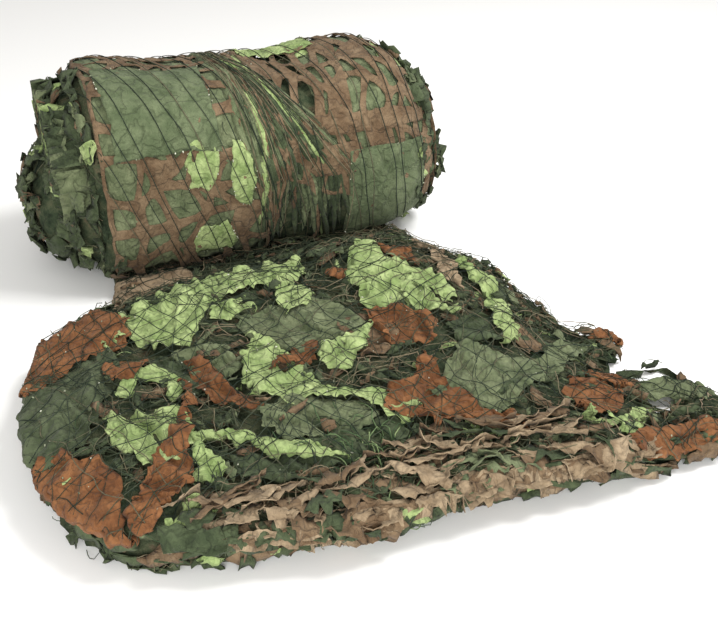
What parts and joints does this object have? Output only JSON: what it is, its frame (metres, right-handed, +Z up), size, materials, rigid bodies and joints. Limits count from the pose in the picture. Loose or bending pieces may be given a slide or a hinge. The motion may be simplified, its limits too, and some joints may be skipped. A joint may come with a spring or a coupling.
{
  "type": "camouflage net, partly unrolled",
  "caption": "Garnished camouflage net in woodland colours: a wound roll with its loose end folded in a low heap in front.",
  "frame": {"origin": "middle of the footprint, on the floor that the net lies on", "axes": "+Z up; X runs along the roll; the loose end lies on the -Y side and the roll on the +Y side"},
  "size_m": [1.1302, 1.2556, 0.4119],
  "materials": {
    "netting": "matt dark green knotted twine netting, bunched",
    "light_green": "matt thin woven cloth, crumpled, light green",
    "mid_green": "matt thin woven cloth, crumpled, grey green",
    "rust": "matt thin woven cloth, crumpled, rust brown",
    "taupe": "matt thin woven cloth, incised, taupe brown"
  },
  "bodies": {
    "root": {"cloth_green_left": "mid_green", "cloth_green_low": "mid_green", "cloth_green_mid": "mid_green", "cloth_green_mid_left": "mid_green", "cloth_green_right": "mid_green", "cloth_green_right_end": "mid_green", "cloth_green_standing": "mid_green", "cloth_light_back": "light_green", "cloth_light_crumple_back": "light_green", "cloth_light_crumple_left": "light_green", "cloth_light_crumple_right": "light_green", "cloth_light_left": "light_green", "cloth_light_long": "light_green", "cloth_light_low": "light_green", "cloth_light_mid": "light_green", "cloth_light_mottled": "light_green", "cloth_light_right": "light_green", "cloth_light_strip": "light_green", "cloth_light_strip_right": "light_green", "cloth_roll_green_back": "mid_green", "cloth_roll_green_left": "mid_green", "cloth_roll_green_right": "mid_green", "cloth_roll_light_back": "light_green", "cloth_roll_light_top": "light_green", "cloth_roll_rust_back": "rust", "cloth_roll_taupe_left": "taupe", "cloth_roll_taupe_right": "taupe", "cloth_rust_back_left": "rust", "cloth_rust_front_left": "rust", "cloth_rust_front_point": "rust", "cloth_rust_front_right": "rust", "cloth_rust_left_small": "rust", "cloth_rust_low_right": "rust", "cloth_rust_mid_right": "rust", "cloth_rust_right": "rust", "cloth_rust_right_tip": "rust", "cloth_rust_strip": "rust", "cloth_taupe_front_left": "taupe", "cloth_taupe_front_right": "taupe", "cloth_taupe_right_side": "taupe", "cloth_taupe_under_roll": "taupe", "net_loose_end": "netting", "net_roll": "netting"}
  },
  "joints": []
}
